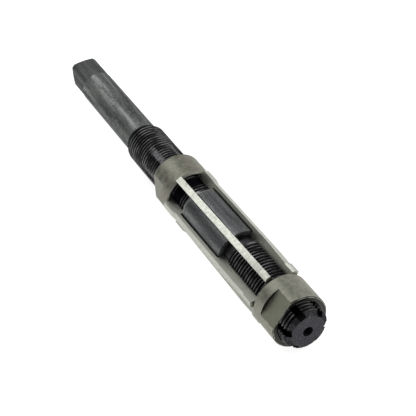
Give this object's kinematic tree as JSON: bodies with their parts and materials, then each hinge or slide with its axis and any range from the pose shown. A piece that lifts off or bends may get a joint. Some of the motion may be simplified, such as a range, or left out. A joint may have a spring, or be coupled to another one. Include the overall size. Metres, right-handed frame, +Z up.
{
  "type": "adjustable hand reamer",
  "caption": "Adjustable hand reamer: straight inserted blades slide in tapered slots between two threaded ring nuts, with a plain shank and a square drive end.",
  "frame": {"origin": "on the tool's axis, at the end face of the drive square", "axes": "+X along the tool's axis from the drive square to the nose, +Z up with the tool lying on two of its blades"},
  "size_m": [0.1846, 0.0232, 0.0214],
  "materials": {
    "blackened_steel": "satin, blackened by oxide after turning and milling",
    "nut_steel": "satin, turned and left bright",
    "blade_steel": "fine ground tool steel"
  },
  "bodies": {
    "reamer_body": {"reamer_body": "blackened_steel"},
    "blade_1": {"blade_1": "blade_steel"},
    "blade_2": {"blade_2": "blade_steel"},
    "blade_3": {"blade_3": "blade_steel"},
    "blade_4": {"blade_4": "blade_steel"},
    "blade_5": {"blade_5": "blade_steel"},
    "blade_6": {"blade_6": "blade_steel"},
    "rear_nut": {"rear_nut": "nut_steel"},
    "front_nut": {"front_nut": "nut_steel"}
  },
  "joints": [
    {"name": "rear_nut_travel", "type": "slide", "parent": "reamer_body", "child": "rear_nut", "axis": [1, 0, 0], "range_m": [-0.022, 0.0055]},
    {"name": "front_nut_travel", "type": "slide", "parent": "reamer_body", "child": "front_nut", "axis": [1, 0, 0], "range_m": [-0.022, 0.0055]},
    {"name": "blade_1_travel", "type": "slide", "parent": "reamer_body", "child": "blade_1", "axis": [0.9998, -0.0168, -0.0131], "range_m": [-0.02201, 0.00551]},
    {"name": "blade_2_travel", "type": "slide", "parent": "reamer_body", "child": "blade_2", "axis": [0.9998, 0.0029, -0.0211], "range_m": [-0.02201, 0.00551]},
    {"name": "blade_3_travel", "type": "slide", "parent": "reamer_body", "child": "blade_3", "axis": [0.9998, 0.0197, -0.008], "range_m": [-0.02201, 0.00551]},
    {"name": "blade_4_travel", "type": "slide", "parent": "reamer_body", "child": "blade_4", "axis": [0.9998, 0.0168, 0.0131], "range_m": [-0.02201, 0.00551]},
    {"name": "blade_5_travel", "type": "slide", "parent": "reamer_body", "child": "blade_5", "axis": [0.9998, -0.0029, 0.0211], "range_m": [-0.02201, 0.00551]},
    {"name": "blade_6_travel", "type": "slide", "parent": "reamer_body", "child": "blade_6", "axis": [0.9998, -0.0197, 0.008], "range_m": [-0.02201, 0.00551]}
  ],
  "couplings": [
    {"joint": "front_nut_travel", "follows": "rear_nut_travel", "ratio": 1},
    {"joint": "blade_1_travel", "follows": "rear_nut_travel", "ratio": 1.0002},
    {"joint": "blade_2_travel", "follows": "rear_nut_travel", "ratio": 1.0002},
    {"joint": "blade_3_travel", "follows": "rear_nut_travel", "ratio": 1.0002},
    {"joint": "blade_4_travel", "follows": "rear_nut_travel", "ratio": 1.0002},
    {"joint": "blade_5_travel", "follows": "rear_nut_travel", "ratio": 1.0002},
    {"joint": "blade_6_travel", "follows": "rear_nut_travel", "ratio": 1.0002}
  ]
}
